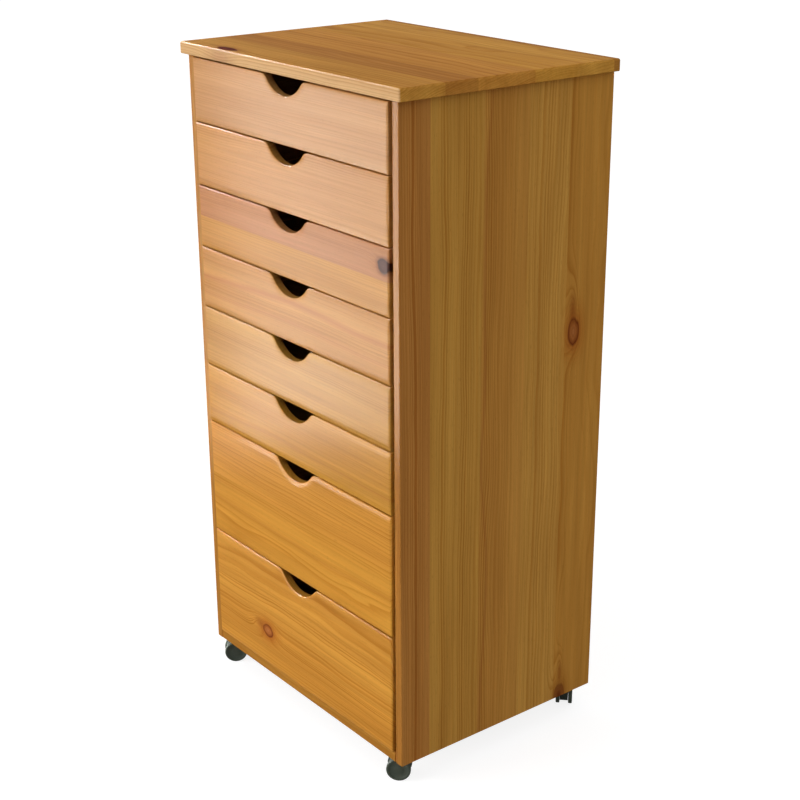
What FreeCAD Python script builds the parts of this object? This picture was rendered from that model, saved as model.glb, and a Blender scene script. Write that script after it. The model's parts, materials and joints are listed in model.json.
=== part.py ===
import FreeCAD, Part
import math
import os
import re
import Sketcher

# Rolling drawer cart of solid pine: eight drawers on wooden runners, on four twin-wheel swivel casters.
# All sizes are in millimetres. The origin is on the floor under the middle of the top board,
# with X to the right, Y to the back and Z up. The drawer fronts face -Y.

# Each size: its name, its value and what it measures.
SIZES = (
    ("cabinet_width", 492, "over the outer faces of the side panels"),
    ("cabinet_depth", 369, "side panels, from front edge to back edge"),
    ("panel_thickness", 16, "side panels"),
    ("panel_edge_round", 1.5, "radius on the side panels' long edges"),
    ("bottom_thickness", 15, "bottom board, whose front edge shows under the last drawer"),
    ("bottom_edge_round", 1, "radius on the bottom board's front edges"),
    ("top_thickness", 17, "top board"),
    ("top_side_overhang", 11, "top board past each side panel"),
    ("top_front_overhang", 7, "top board past the panels' front edges"),
    ("top_edge_round", 3, "radius on the top board's upper edges and upright corners"),
    ("top_lower_round", 1.5, "radius on the top board's lower edges"),
    ("back_thickness", 5, "plywood back"),
    ("back_inset", 8, "back's outer face in front of the panels' back edges"),
    ("back_groove_depth", 5, "grooves that hold the back in the side panels"),
    ("shallow_front_height", 91, "fronts of the six shallow drawers"),
    ("deep_front_height", 183, "fronts of the two deep drawers"),
    ("front_thickness", 12, "drawer fronts"),
    ("front_proud", 4, "drawer fronts past the panels' front edges"),
    ("front_gap", 2, "between one drawer front and the next"),
    ("front_end_gap", 1.2, "between a drawer front's end and the side panel"),
    ("front_round", 2.5, "radius on the edges of a drawer front's face"),
    ("top_gap", 3, "between the first drawer front and the top board"),
    ("notch_radius", 52, "hollow of the finger notch"),
    ("notch_depth", 24.5, "finger notch, below the front's upper edge"),
    ("notch_shoulder", 15, "radius where the notch meets the upper edge"),
    ("joint_depth", 5, "how far a drawer's sides and bottom reach into its front"),
    ("side_thickness", 12, "drawer sides"),
    ("side_gap", 5, "between a drawer's side and the side panel"),
    ("side_lift", 5, "drawer sides above the front's lower edge"),
    ("side_drop", 12, "drawer sides below the front's upper edge"),
    ("side_round", 2, "radius on the drawer sides' upper edges"),
    ("drawer_rear_gap", 18, "between a closed drawer and the back"),
    ("drawer_back_thickness", 12, "drawer backs"),
    ("drawer_back_inset", 6, "drawer back in front of the sides' rear ends"),
    ("housing_depth", 4, "how far the drawer back reaches into each side"),
    ("plywood_thickness", 4, "drawer bottoms"),
    ("plywood_lift", 8, "drawer bottoms above the sides' lower edges"),
    ("plywood_groove_depth", 4, "grooves that hold the drawer bottom in the sides and back"),
    ("runner_height", 12, "wooden runners"),
    ("runner_reach", 12, "runners, out of the side panel's face"),
    ("runner_let_in", 2, "runners, into the side panel"),
    ("runner_clearance", 0.3, "around a runner in its drawer's groove, and in front of it"),
    ("runner_rear_gap", 2, "between the runners and the back"),
    ("dowel_diameter", 8, "beech dowels that join the boards"),
    ("dowel_length", 30, "beech dowels"),
    ("dowel_in_top", 10, "dowels, into the top board"),
    ("dowel_in_panel", 11, "dowels of the bottom board, into the side panels"),
    ("dowel_inset", 60, "first and last dowel from the panels' front and back edges"),
    ("dowel_end_gap", 0.5, "glue space past a dowel's end"),
    ("fit_gap", 0.05, "around a part that is glued or pressed into a hole"),
    ("caster_side_inset", 27, "swivel axis from the cabinet's side"),
    ("caster_end_inset", 26, "swivel axis from the cabinet's front or back edge"),
    ("caster_trail", 8, "wheels' axis behind the swivel axis"),
    ("wheel_diameter", 36, "caster wheels"),
    ("wheel_width", 6, "caster wheels"),
    ("wheel_round", 1.5, "radius on a wheel's tread edges"),
    ("wheel_dish_radius", 14, "shallow dish in a wheel's outer face"),
    ("wheel_dish_depth", 0.8, "shallow dish in a wheel's outer face"),
    ("wheel_gap", 0.5, "between a wheel and the hood"),
    ("hood_width", 12.4, "caster hood, between the two wheels"),
    ("hood_setback", 2, "hood's rim inside the wheels' rims"),
    ("hood_floor_gap", 10.5, "hood's flat underside above the floor"),
    ("boss_radius", 6, "round boss that holds the stem"),
    ("boss_rise", 2.8, "boss above the wheels"),
    ("swivel_gap", 0.4, "between the boss and the socket's flange"),
    ("axle_diameter", 4, "steel axle"),
    ("axle_reach", 4.5, "axle into each wheel"),
    ("axle_end_gap", 0.3, "past the axle's end in the wheel"),
    ("running_gap", 0.06, "around a part that turns, radially"),
    ("stem_diameter", 8, "steel stem"),
    ("stem_in_boss", 13, "stem into the boss"),
    ("stem_chamfer", 0.8, "stem's ends"),
    ("stem_end_gap", 0.3, "above the stem in its socket"),
    ("stem_neck_depth", 0.5, "retaining neck near the stem's top"),
    ("stem_neck_height", 2, "retaining neck near the stem's top"),
    ("stem_neck_drop", 3, "retaining neck below the stem's top"),
    ("socket_flange_radius", 10, "plastic socket in the bottom board"),
    ("socket_flange_thickness", 1.8, "socket's flange, under the board"),
    ("socket_sleeve_radius", 5.5, "socket's sleeve"),
    ("socket_sleeve_length", 12.5, "socket's sleeve, up into the board"),
    ("socket_cap_thickness", 1.2, "closed top of the sleeve"),
    ("front_left_turn", -32, "degrees, how the front left caster stands"),
    ("front_right_turn", -44.5, "degrees, how the front right caster stands"),
    ("back_left_turn", -58, "degrees, how the back left caster stands"),
    ("back_right_turn", -135.5, "degrees, how the back right caster stands"),
)

# The drawers, counted from the top, each with its kind, as the kind's sizes are named.
DRAWERS = {
    "1": "shallow",
    "2": "shallow",
    "3": "shallow",
    "4": "shallow",
    "5": "shallow",
    "6": "shallow",
    "7": "deep",
    "8": "deep",
}

# Places and lengths that differ by less than this are taken as the same.
TOLERANCE = 1e-4


def drawer_bases():
    """Gives each front's lower edge, from the bottom board up."""
    bases = []
    support = "cabinet_bottom + bottom_thickness"
    for drawer, kind in reversed(DRAWERS.items()):
        base = f"drawer_{drawer}_base"
        bases.append((base, f"{support} + front_gap"))
        support = f"{base} + {kind}_front_height"
    return bases


# What follows from the sizes: places, and lengths between two pieces.
PLACES = [
    ("wheel_radius", "wheel_diameter / 2"),
    ("boss_top", "wheel_diameter + boss_rise"),
    ("flange_bottom", "boss_top + swivel_gap"),
    ("cabinet_bottom", "flange_bottom + socket_flange_thickness"),
    ("cabinet_front", "-(cabinet_depth - top_front_overhang) / 2"),
    ("cabinet_back", "(cabinet_depth + top_front_overhang) / 2"),
    ("inner_width", "cabinet_width - 2 * panel_thickness"),
    ("back_face", "cabinet_back - back_inset - back_thickness"),
    ("front_rear_face", "cabinet_front - front_proud + front_thickness"),
    ("front_width", "inner_width - 2 * front_end_gap"),
    ("drawer_rear", "back_face - drawer_rear_gap"),
    ("drawer_box_width", "inner_width - 2 * side_gap"),
    ("drawer_inside_width", "drawer_box_width - 2 * side_thickness"),
    ("side_front", "front_rear_face - joint_depth"),
    ("side_length", "drawer_rear - side_front"),
    ("drawer_back_face", "drawer_rear - drawer_back_inset - drawer_back_thickness"),
    ("plywood_width", "drawer_inside_width + 2 * plywood_groove_depth"),
    ("plywood_length", "drawer_back_face + plywood_groove_depth - side_front"),
    ("runner_front", "front_rear_face + runner_clearance"),
    ("runner_length", "back_face - runner_rear_gap - runner_front"),
    ("runner_groove_depth", "runner_reach - side_gap + runner_clearance"),
    ("runner_groove_height", "runner_height + 2 * runner_clearance"),
    ("shallow_side_height", "shallow_front_height - side_lift - side_drop"),
    ("deep_side_height", "deep_front_height - side_lift - side_drop"),
    *drawer_bases(),
    ("cabinet_top", "drawer_1_base + shallow_front_height + top_gap"),
    ("panel_height", "cabinet_top - cabinet_bottom"),
    ("dowel_hole_radius", "dowel_diameter / 2 + fit_gap"),
    ("dowel_spacing", "(cabinet_depth - 2 * dowel_inset) / 2"),
    ("hood_radius", "wheel_radius - hood_setback"),
    ("wheel_inner_face", "hood_width / 2 + wheel_gap"),
    ("wheel_outer_face", "wheel_inner_face + wheel_width"),
    ("wheel_bore_radius", "axle_diameter / 2 + running_gap"),
    ("axle_half_length", "wheel_inner_face + axle_reach"),
    ("wheel_bore_end", "axle_half_length + axle_end_gap"),
    ("wheel_dish_floor", "wheel_outer_face - wheel_dish_depth"),
    ("stem_radius", "stem_diameter / 2"),
    ("stem_tip_radius", "stem_radius - stem_chamfer"),
    ("stem_bottom", "boss_top - stem_in_boss"),
    ("stem_bottom_shoulder", "stem_bottom + stem_chamfer"),
    ("socket_top", "cabinet_bottom + socket_sleeve_length"),
    ("socket_ceiling", "socket_top - socket_cap_thickness"),
    ("stem_top", "socket_ceiling - stem_end_gap"),
    ("stem_top_shoulder", "stem_top - stem_chamfer"),
    ("stem_neck_radius", "stem_radius - stem_neck_depth"),
    ("stem_neck_top", "stem_top - stem_neck_drop"),
    ("stem_neck_bottom", "stem_neck_top - stem_neck_height"),
    ("socket_bore_radius", "stem_radius + running_gap"),
]

# Each caster: the X and Y of its swivel axis, and how it stands.
LEFT = "(caster_side_inset - cabinet_width / 2)"
RIGHT = "(cabinet_width / 2 - caster_side_inset)"
FRONT = "(cabinet_front + caster_end_inset)"
BACK = "(cabinet_back - caster_end_inset)"
CASTERS = {
    "front_left": (LEFT, FRONT, "front_left_turn"),
    "front_right": (RIGHT, FRONT, "front_right_turn"),
    "back_left": (LEFT, BACK, "back_left_turn"),
    "back_right": (RIGHT, BACK, "back_right_turn"),
}

doc = FreeCAD.newDocument("rolling_drawer_cart")
subparts = []


def fill_sheets():
    """Writes the sizes as numbers in one sheet and what follows from them as formulas in another."""
    numbers = doc.addObject("Spreadsheet::Sheet", "Sizes")
    for row, (name, size, meaning) in enumerate(SIZES, 1):
        numbers.set(f"A{row}", meaning)
        numbers.set(f"B{row}", str(size))
        numbers.setAlias(f"B{row}", name)
    doc.recompute()
    formulas = doc.addObject("Spreadsheet::Sheet", "Places")
    for row, (name, formula) in enumerate(PLACES, 1):
        formulas.set(f"A{row}", formula)
        formulas.set(f"B{row}", "=" + in_sheets(formula))
        formulas.setAlias(f"B{row}", name)
    doc.recompute()


def in_sheets(formula):
    """Puts the name of its sheet before each size or place in a formula."""
    sheets = {name: "Sizes" for name, _, _ in SIZES}
    sheets.update({name: "Places" for name, _ in PLACES})
    return re.sub(r"[a-z]\w+", lambda word: f"{sheets[word[0]]}.{word[0]}", formula)


def value(name):
    """Gives a size or place as a number."""
    sheet = doc.Places if name in dict(PLACES) else doc.Sizes
    return float(sheet.get(name))


def bind(thing, **formulas):
    """Ties an object's properties to formulas."""
    for name, formula in formulas.items():
        thing.setExpression(name, in_sheets(formula))


def put(thing, x="0", y="0", z="0"):
    """Ties an object's place to formulas."""
    for axis, formula in zip("xyz", (x, y, z)):
        thing.setExpression("Placement.Base." + axis, in_sheets(formula))


def subpart(thing):
    """Keeps an object as one of the cart's sub-parts, under its own name."""
    thing.Label = thing.Name
    subparts.append(thing)
    return thing


def new_body(name):
    """Starts a piece that is built up feature by feature."""
    return doc.addObject("PartDesign::Body", name)


def box(body, kind, name, size, corner):
    """Adds a box to a body, or takes one away: kind is Additive or Subtractive."""
    feature = body.newObject(f"PartDesign::{kind}Box", f"{body.Name}_{name}")
    bind(feature, Length=size[0], Width=size[1], Height=size[2])
    put(feature, *corner)
    return feature


AXIS_TURNS = {
    "x": FreeCAD.Rotation(FreeCAD.Vector(0, 1, 0), 90),
    "z": FreeCAD.Rotation(),
}


def rod(body, kind, name, radius, length, start, axis="z"):
    """Adds a cylinder to a body along an axis, or takes one away."""
    feature = body.newObject(f"PartDesign::{kind}Cylinder", f"{body.Name}_{name}")
    feature.Placement.Rotation = AXIS_TURNS[axis]
    bind(feature, Radius=radius, Height=length)
    put(feature, *start)
    return feature


def flat_at(edge, axis, place):
    """Says whether an edge lies all at one place along an axis."""
    bounds = edge.BoundBox
    low, high = getattr(bounds, axis + "Min"), getattr(bounds, axis + "Max")
    return abs(low - place) < TOLERANCE and abs(high - place) < TOLERANCE


def runs_along(edge, axis):
    """Says whether an edge is a straight one along an axis."""
    return all(
        getattr(edge.BoundBox, other + "Length") < TOLERANCE for other in "XYZ" if other != axis
    )


def round_edges(body, name, radius, chosen):
    """Rounds the edges that the test picks on the body's last feature."""
    doc.recompute()
    last = body.Tip
    edges = [f"Edge{number}" for number, edge in enumerate(last.Shape.Edges, 1) if chosen(edge)]
    feature = body.newObject("PartDesign::Fillet", f"{body.Name}_{name}")
    feature.Base = (last, edges)
    bind(feature, Radius=radius)
    return feature


def new_sketch(body, plane, name):
    """Adds a sketch on one of the body's own planes."""
    sketch = body.newObject("Sketcher::SketchObject", f"{body.Name}_{name}")
    plane_object = next(part for part in body.Origin.OriginFeatures if part.Role == plane)
    sketch.AttachmentSupport = [(plane_object, "")]
    sketch.MapMode = "FlatFace"
    return sketch


def coordinate(name):
    """Gives the starting value of a coordinate: a size or place, perhaps negative, or 0."""
    if name == "0":
        return 0.0
    sign = -1 if name.startswith("-") else 1
    return sign * value(name.lstrip("-"))


def pin(sketch, kind, line, name):
    """Holds the start of a line at a coordinate: kind is DistanceX or DistanceY."""
    if name == "0":
        zero_axis = -2 if kind == "DistanceX" else -1
        sketch.addConstraint(Sketcher.Constraint("PointOnObject", line, 1, zero_axis))
        return
    index = sketch.addConstraint(Sketcher.Constraint(kind, -1, 1, line, 1, coordinate(name)))
    sketch.setExpression(f"Constraints[{index}]", in_sheets(name))


def draw_outline(sketch, corners):
    """Draws a closed outline through corners, each a pair of coordinates."""
    points = [FreeCAD.Vector(coordinate(x), coordinate(y), 0) for x, y in corners]
    for start, end in zip(points, points[1:] + points[:1]):
        sketch.addGeometry(Part.LineSegment(start, end))
    for line in range(len(corners)):
        following = (line + 1) % len(corners)
        sketch.addConstraint(Sketcher.Constraint("Coincident", line, 2, following, 1))
    for line, (x, y) in enumerate(corners):
        pin(sketch, "DistanceX", line, x)
        pin(sketch, "DistanceY", line, y)


def revolve(body, sketch, axis):
    """Turns a sketch round one of its own axes: H_Axis or V_Axis."""
    feature = body.newObject("PartDesign::Revolution", f"{body.Name}_turned")
    feature.Profile = sketch
    feature.ReferenceAxis = (sketch, [axis])
    feature.Angle = 360
    sketch.Visibility = False
    return feature


def mirror_left_to_right(source, name):
    """Copies a left-hand piece to the right of the middle plane."""
    copy = doc.addObject("Part::Mirroring", name)
    copy.Source = source
    copy.Normal = FreeCAD.Vector(1, 0, 0)
    return copy


def group(name, pieces):
    """Makes one sub-part of like pieces, each still a solid of its own."""
    compound = doc.addObject("Part::Compound", name)
    compound.Links = pieces
    return subpart(compound)


def runner_lift(drawer):
    """Gives the height of a drawer's runner above the lower edge of its front."""
    return f"side_lift + ({DRAWERS[drawer]}_side_height - runner_height) / 2"


def dowel_places():
    """Gives the distance of each row of dowels from the front edges of the panels."""
    return [f"dowel_inset + {count} * dowel_spacing" for count in range(3)]


def make_top_board():
    """The board on top, rounded all round its upper edges, with blind dowel holes underneath."""
    body = new_body("top_board")
    width = "cabinet_width + 2 * top_side_overhang"
    depth = "cabinet_depth + top_front_overhang"
    box(body, "Additive", "board", (width, depth, "top_thickness"), ("0", "0", "0"))
    upper = value("top_thickness")
    round_edges(
        body, "round", "top_edge_round", lambda edge: flat_at(edge, "Z", upper) or runs_along(edge, "Z")
    )
    round_edges(body, "lower_round", "top_lower_round", lambda edge: flat_at(edge, "Z", 0))
    for side in (-1, 1):
        for row, distance in enumerate(dowel_places()):
            x = f"({width}) / 2 + {side} * (cabinet_width - panel_thickness) / 2"
            start = (x, f"top_front_overhang + {distance}", "0")
            depth_of_hole = "dowel_in_top + dowel_end_gap"
            name = f"dowel_hole_{'left' if side < 0 else 'right'}_{row}"
            rod(body, "Subtractive", name, "dowel_hole_radius", depth_of_hole, start)
    put(body, f"-({width}) / 2", "cabinet_front - top_front_overhang", "cabinet_top")
    subpart(body)


def make_side_panels():
    """The left panel, with its grooves and holes, and the right one as its mirror image."""
    body = new_body("left_side_panel")
    size = ("panel_thickness", "cabinet_depth", "panel_height")
    box(body, "Additive", "panel", size, ("0", "0", "0"))
    round_edges(body, "round", "panel_edge_round", lambda edge: runs_along(edge, "Z"))
    size = ("back_groove_depth", "back_thickness", "panel_height")
    corner = ("panel_thickness - back_groove_depth", "back_face - cabinet_front", "0")
    box(body, "Subtractive", "back_groove", size, corner)
    size = ("runner_let_in", "runner_length", "runner_height")
    for drawer in DRAWERS:
        height = f"drawer_{drawer}_base - cabinet_bottom + {runner_lift(drawer)}"
        corner = ("panel_thickness - runner_let_in", "runner_front - cabinet_front", height)
        box(body, "Subtractive", f"runner_{drawer}", size, corner)
    for row, distance in enumerate(dowel_places()):
        depth = "dowel_length - dowel_in_top + dowel_end_gap"
        start = ("panel_thickness / 2", distance, f"panel_height - ({depth})")
        rod(body, "Subtractive", f"top_dowel_{row}", "dowel_hole_radius", depth, start)
        depth = "dowel_in_panel + dowel_end_gap"
        start = (f"panel_thickness - ({depth})", distance, "bottom_thickness / 2")
        rod(body, "Subtractive", f"bottom_dowel_{row}", "dowel_hole_radius", depth, start, "x")
    put(body, "-cabinet_width / 2", "cabinet_front", "cabinet_bottom")
    subpart(body)
    subpart(mirror_left_to_right(body, "right_side_panel"))


def make_bottom_board():
    """The board between the panels that carries the caster sockets."""
    body = new_body("bottom_board")
    depth = "back_face - cabinet_front"
    box(body, "Additive", "board", ("inner_width", depth, "bottom_thickness"), ("0", "0", "0"))
    round_edges(
        body, "round", "bottom_edge_round", lambda edge: flat_at(edge, "Y", 0) and runs_along(edge, "X")
    )
    hole_depth = "dowel_length - dowel_in_panel + dowel_end_gap"
    for row, distance in enumerate(dowel_places()):
        for name, x in (("left", "0"), ("right", f"inner_width - ({hole_depth})")):
            start = (x, distance, "bottom_thickness / 2")
            rod(body, "Subtractive", f"{name}_dowel_{row}", "dowel_hole_radius", hole_depth, start, "x")
    for name, (x, y, _) in CASTERS.items():
        start = (f"inner_width / 2 + {x}", f"{y} - cabinet_front", "0")
        radius = "socket_sleeve_radius + fit_gap"
        rod(body, "Subtractive", f"{name}_socket", radius, "socket_sleeve_length + fit_gap", start)
    put(body, "-inner_width / 2", "cabinet_front", "cabinet_bottom")
    subpart(body)


def make_back_panel():
    """The plywood back, held in the side panels' grooves."""
    panel = doc.addObject("Part::Box", "back_panel")
    width = "inner_width + 2 * back_groove_depth"
    bind(panel, Length=width, Width="back_thickness", Height="panel_height")
    put(panel, "-inner_width / 2 - back_groove_depth", "back_face", "cabinet_bottom")
    subpart(panel)


def make_runners():
    """The strips let into the side panels: each drawer hangs on two of them by its side grooves."""
    ends = {"left": "-inner_width / 2 - runner_let_in", "right": "inner_width / 2 - runner_reach"}
    width = "runner_let_in + runner_reach"
    strips = []
    for drawer in DRAWERS:
        for hand, x in ends.items():
            strip = doc.addObject("Part::Box", f"{hand}_runner_{drawer}")
            bind(strip, Length=width, Width="runner_length", Height="runner_height")
            put(strip, x, "runner_front", f"drawer_{drawer}_base + {runner_lift(drawer)}")
            strips.append(strip)
    group("drawer_runners", strips)


def make_dowels():
    """The dowels: upright ones in the top board, level ones in the bottom board."""
    dowels = []
    level = FreeCAD.Rotation(FreeCAD.Vector(0, 1, 0), 90)
    for side in (-1, 1):
        hand = "left" if side < 0 else "right"
        for row, distance in enumerate(dowel_places()):
            upright = doc.addObject("Part::Cylinder", f"{hand}_top_dowel_{row}")
            x = f"{side} * (cabinet_width - panel_thickness) / 2"
            y = f"cabinet_front + {distance}"
            put(upright, x, y, "cabinet_top + dowel_in_top - dowel_length")
            lying = doc.addObject("Part::Cylinder", f"{hand}_bottom_dowel_{row}")
            lying.Placement.Rotation = level
            x = f"{side} * (inner_width / 2 + dowel_in_panel - dowel_length / 2) - dowel_length / 2"
            put(lying, x, y, "cabinet_bottom + bottom_thickness / 2")
            dowels += [upright, lying]
    for dowel in dowels:
        bind(dowel, Radius="dowel_diameter / 2", Height="dowel_length")
    group("joint_dowels", dowels)


def draw_front_outline(sketch, height):
    """Draws a drawer front seen from behind: a rectangle with the finger notch in its upper edge.

    The notch is one hollow arc that runs into the upper edge through a rounded shoulder on each side.
    """
    half_width = value("front_width") / 2
    top = value(height)
    hollow = value("notch_radius")
    shoulder = value("notch_shoulder")
    centre = FreeCAD.Vector(0, top + hollow - value("notch_depth"), 0)
    rise = centre.y - top + shoulder
    shoulder_x = math.sqrt((hollow + shoulder) ** 2 - rise**2)
    lean = math.atan2(rise, shoulder_x)
    axis = FreeCAD.Vector(0, 0, 1)

    def arc(x, y, radius, start, end):
        circle = Part.Circle(FreeCAD.Vector(x, y, 0), axis, radius)
        return Part.ArcOfCircle(circle, start, end)

    def line(x1, y1, x2, y2):
        return Part.LineSegment(FreeCAD.Vector(x1, y1, 0), FreeCAD.Vector(x2, y2, 0))

    bottom = sketch.addGeometry(line(-half_width, 0, half_width, 0))
    right = sketch.addGeometry(line(half_width, 0, half_width, top))
    top_right = sketch.addGeometry(line(half_width, top, shoulder_x, top))
    right_shoulder = sketch.addGeometry(
        arc(shoulder_x, top - shoulder, shoulder, math.pi / 2, math.pi - lean)
    )
    notch = sketch.addGeometry(arc(0, centre.y, hollow, lean - math.pi, -lean))
    left_shoulder = sketch.addGeometry(arc(-shoulder_x, top - shoulder, shoulder, lean, math.pi / 2))
    top_left = sketch.addGeometry(line(-shoulder_x, top, -half_width, top))
    left = sketch.addGeometry(line(-half_width, top, -half_width, 0))

    for constraint in (
        ("Coincident", bottom, 2, right, 1),
        ("Coincident", right, 2, top_right, 1),
        ("Tangent", top_right, 2, right_shoulder, 1),
        ("Tangent", right_shoulder, 2, notch, 2),
        ("Tangent", notch, 1, left_shoulder, 1),
        ("Tangent", left_shoulder, 2, top_left, 1),
        ("Coincident", top_left, 2, left, 1),
        ("Coincident", left, 2, bottom, 1),
        ("Vertical", right),
        ("Vertical", left),
        ("Horizontal", top_right),
        ("Horizontal", top_left),
        ("Horizontal", top_right, 2, top_left, 1),
        ("Symmetric", bottom, 1, bottom, 2, -2),
        ("PointOnObject", bottom, 1, -1),
        ("PointOnObject", notch, 3, -2),
    ):
        sketch.addConstraint(Sketcher.Constraint(*constraint))
    for constraint, formula in (
        (("DistanceX", bottom, 1, bottom, 2, 2 * half_width), "front_width"),
        (("DistanceY", right, 1, right, 2, top), height),
        (("Radius", notch, hollow), "notch_radius"),
        (("Radius", right_shoulder, shoulder), "notch_shoulder"),
        (("Radius", left_shoulder, shoulder), "notch_shoulder"),
        (("DistanceY", -1, 1, notch, 3, centre.y), f"{height} + notch_radius - notch_depth"),
    ):
        index = sketch.addConstraint(Sketcher.Constraint(*constraint))
        sketch.setExpression(f"Constraints[{index}]", in_sheets(formula))


def make_drawer_front(drawer):
    """The front: housed at the back for the sides, grooved for the bottom, with the finger notch."""
    kind = DRAWERS[drawer]
    body = new_body(f"drawer_{drawer}_front")
    sketch = new_sketch(body, "XZ_Plane", "outline")
    draw_front_outline(sketch, f"{kind}_front_height")
    pad = body.newObject("PartDesign::Pad", f"{body.Name}_board")
    pad.Profile = sketch
    bind(pad, Length="front_thickness")
    sketch.Visibility = False
    face = -value("front_thickness")
    round_edges(body, "round", "front_round", lambda edge: flat_at(edge, "Y", face))
    size = ("side_thickness", "joint_depth", f"{kind}_side_height")
    for hand, x in (
        ("left", "-drawer_box_width / 2"),
        ("right", "drawer_box_width / 2 - side_thickness"),
    ):
        box(body, "Subtractive", f"{hand}_housing", size, (x, "-joint_depth", "side_lift"))
    size = ("plywood_width", "joint_depth", "plywood_thickness")
    corner = ("-plywood_width / 2", "-joint_depth", "side_lift + plywood_lift")
    box(body, "Subtractive", "bottom_groove", size, corner)
    put(body, "0", "front_rear_face", f"drawer_{drawer}_base")
    subpart(body)


def make_drawer_sides(drawer):
    """The two sides: grooved outside for the runner, inside for the bottom and the back."""
    height = f"{DRAWERS[drawer]}_side_height"
    body = new_body(f"drawer_{drawer}_left_side")
    box(body, "Additive", "board", ("side_thickness", "side_length", height), ("0", "0", "0"))
    upper = value(height)
    round_edges(
        body, "round", "side_round", lambda edge: flat_at(edge, "Z", upper) and runs_along(edge, "Y")
    )
    size = ("runner_groove_depth", "side_length", "runner_groove_height")
    corner = ("0", "0", f"({height} - runner_groove_height) / 2")
    box(body, "Subtractive", "runner_groove", size, corner)
    size = ("plywood_groove_depth", "side_length", "plywood_thickness")
    corner = ("side_thickness - plywood_groove_depth", "0", "plywood_lift")
    box(body, "Subtractive", "bottom_groove", size, corner)
    size = ("housing_depth", "drawer_back_thickness", height)
    corner = ("side_thickness - housing_depth", "drawer_back_face - side_front", "0")
    box(body, "Subtractive", "back_housing", size, corner)
    put(body, "-drawer_box_width / 2", "side_front", f"drawer_{drawer}_base + side_lift")
    right = mirror_left_to_right(body, f"drawer_{drawer}_right_side")
    group(f"drawer_{drawer}_sides", [body, right])


def make_drawer_back(drawer):
    """The back: housed in the sides and grooved for the bottom."""
    body = new_body(f"drawer_{drawer}_back")
    length = "drawer_inside_width + 2 * housing_depth"
    size = (length, "drawer_back_thickness", f"{DRAWERS[drawer]}_side_height")
    box(body, "Additive", "board", size, ("0", "0", "0"))
    size = (length, "plywood_groove_depth", "plywood_thickness")
    box(body, "Subtractive", "bottom_groove", size, ("0", "0", "plywood_lift"))
    put(body, f"-({length}) / 2", "drawer_back_face", f"drawer_{drawer}_base + side_lift")
    subpart(body)


def make_drawer_bottom(drawer):
    """The plywood bottom, held in grooves on all four sides."""
    panel = doc.addObject("Part::Box", f"drawer_{drawer}_bottom")
    bind(panel, Length="plywood_width", Width="plywood_length", Height="plywood_thickness")
    put(panel, "-plywood_width / 2", "side_front", f"drawer_{drawer}_base + side_lift + plywood_lift")
    subpart(panel)


def stand_caster_piece(body, corner):
    """Puts a caster's piece, made round the swivel axis, at its corner and turns it."""
    x, y, turn = CASTERS[corner]
    put(body, x, y)
    body.setExpression("Placement.Rotation.Angle", in_sheets(turn))


def make_hood(corner):
    """The moulded hood between the wheels: a disc cut flat underneath, with the boss for the stem."""
    body = new_body(f"{corner}_caster_hood")
    axle_end = ("-hood_width / 2", "-caster_trail", "wheel_radius")
    rod(body, "Additive", "disc", "hood_radius", "hood_width", axle_end, "x")
    below = ("hood_width", "2 * hood_radius", "hood_floor_gap")
    low_end = ("-hood_width / 2", "-caster_trail - hood_radius", "0")
    box(body, "Subtractive", "underside", below, low_end)
    rod(body, "Additive", "boss", "boss_radius", "boss_top - wheel_radius", ("0", "0", "wheel_radius"))
    stem_hole = ("0", "0", "stem_bottom - fit_gap")
    rod(body, "Subtractive", "stem_hole", "stem_radius + fit_gap", "stem_in_boss + fit_gap", stem_hole)
    rod(body, "Subtractive", "axle_hole", "axle_diameter / 2 + fit_gap", "hood_width", axle_end, "x")
    stand_caster_piece(body, corner)
    subpart(body)


def make_stem(corner):
    """The steel stem: pressed into the boss, free to turn in its socket."""
    body = new_body(f"{corner}_caster_stem")
    sketch = new_sketch(body, "XZ_Plane", "profile")
    draw_outline(
        sketch,
        [
            ("0", "stem_bottom"),
            ("stem_tip_radius", "stem_bottom"),
            ("stem_radius", "stem_bottom_shoulder"),
            ("stem_radius", "stem_neck_bottom"),
            ("stem_neck_radius", "stem_neck_bottom"),
            ("stem_neck_radius", "stem_neck_top"),
            ("stem_radius", "stem_neck_top"),
            ("stem_radius", "stem_top_shoulder"),
            ("stem_tip_radius", "stem_top"),
            ("0", "stem_top"),
        ],
    )
    revolve(body, sketch, "V_Axis")
    stand_caster_piece(body, corner)
    subpart(body)


def make_axle(corner):
    """The steel axle through the hood, on which each wheel turns by itself."""
    body = new_body(f"{corner}_caster_axle")
    start = ("-axle_half_length", "-caster_trail", "wheel_radius")
    rod(body, "Additive", "rod", "axle_diameter / 2", "2 * axle_half_length", start, "x")
    stand_caster_piece(body, corner)
    subpart(body)


def make_wheel(corner, hand):
    """A wheel: closed outside with a shallow dish, bored from the inside for the axle."""
    sign = "-" if hand == "left" else ""
    body = new_body(f"{corner}_caster_{hand}_wheel")
    sketch = new_sketch(body, "XZ_Plane", "profile")
    sketch.setExpression("AttachmentOffset.Base.y", in_sheets("wheel_radius"))
    sketch.setExpression("AttachmentOffset.Base.z", in_sheets("caster_trail"))
    profile = [
        ("wheel_inner_face", "wheel_bore_radius"),
        ("wheel_inner_face", "wheel_radius"),
        ("wheel_outer_face", "wheel_radius"),
        ("wheel_outer_face", "wheel_dish_radius"),
        ("wheel_dish_floor", "wheel_dish_radius"),
        ("wheel_dish_floor", "0"),
        ("wheel_bore_end", "0"),
        ("wheel_bore_end", "wheel_bore_radius"),
    ]
    draw_outline(sketch, [(sign + x, radius) for x, radius in profile])
    revolve(body, sketch, "H_Axis")
    tread = value("wheel_diameter")
    round_edges(
        body, "tread_round", "wheel_round", lambda edge: abs(edge.BoundBox.ZLength - tread) < TOLERANCE
    )
    stand_caster_piece(body, corner)
    subpart(body)


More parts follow.
